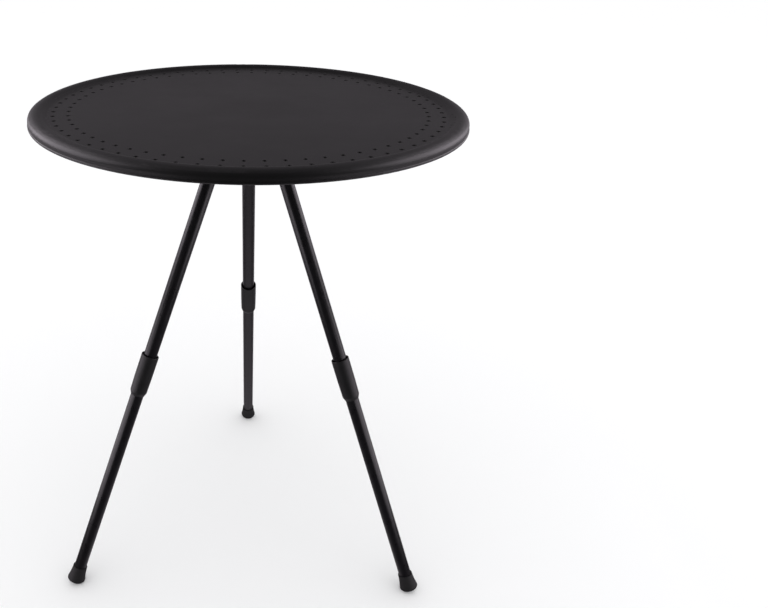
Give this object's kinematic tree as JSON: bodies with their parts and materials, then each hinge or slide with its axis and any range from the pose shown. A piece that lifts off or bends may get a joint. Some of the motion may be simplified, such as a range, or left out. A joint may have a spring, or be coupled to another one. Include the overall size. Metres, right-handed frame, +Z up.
{
  "type": "folding wine table",
  "caption": "Low round side table with a rimmed, edge-perforated tray top on a three-legged stand whose push-fit leg sections pull apart for packing.",
  "frame": {"origin": "on the floor, under the middle of the round top", "axes": "+Z up along the axis of the top; +Y towards the back leg"},
  "size_m": [0.4756, 0.5027, 0.6],
  "materials": {
    "powder_coat": "black powder coat, satin",
    "coated_tube": "black coated tube, semi-gloss",
    "moulded_collar": "moulded, satin",
    "moulded_hub": "moulded, fine grain",
    "rubber_foot": "moulded, matt",
    "zinc_steel": "bright zinc plate"
  },
  "bodies": {
    "top": {"table_top": "powder_coat", "weld_studs": "zinc_steel", "leg_hub": "moulded_hub", "hub_washers": "zinc_steel", "hub_nuts": "zinc_steel"},
    "upper_leg_back": {"upper_tube_back": "coated_tube"},
    "lower_leg_back": {"collar_back": "moulded_collar", "lower_tube_back": "coated_tube", "foot_back": "rubber_foot"},
    "upper_leg_left": {"upper_tube_left": "coated_tube"},
    "lower_leg_left": {"collar_left": "moulded_collar", "lower_tube_left": "coated_tube", "foot_left": "rubber_foot"},
    "upper_leg_right": {"upper_tube_right": "coated_tube"},
    "lower_leg_right": {"collar_right": "moulded_collar", "lower_tube_right": "coated_tube", "foot_right": "rubber_foot"}
  },
  "joints": [
    {"name": "upper_leg_back_pull", "type": "slide", "parent": "top", "child": "upper_leg_back", "axis": [0, 0.3791, -0.9253], "range_m": [0, 0.035]},
    {"name": "lower_leg_back_pull", "type": "slide", "parent": "upper_leg_back", "child": "lower_leg_back", "axis": [0, 0.3791, -0.9253], "range_m": [0, 0.04]},
    {"name": "upper_leg_left_pull", "type": "slide", "parent": "top", "child": "upper_leg_left", "axis": [-0.3283, -0.1896, -0.9253], "range_m": [0, 0.035]},
    {"name": "lower_leg_left_pull", "type": "slide", "parent": "upper_leg_left", "child": "lower_leg_left", "axis": [-0.3283, -0.1896, -0.9253], "range_m": [0, 0.04]},
    {"name": "upper_leg_right_pull", "type": "slide", "parent": "top", "child": "upper_leg_right", "axis": [0.3283, -0.1896, -0.9253], "range_m": [0, 0.035]},
    {"name": "lower_leg_right_pull", "type": "slide", "parent": "upper_leg_right", "child": "lower_leg_right", "axis": [0.3283, -0.1896, -0.9253], "range_m": [0, 0.04]}
  ]
}
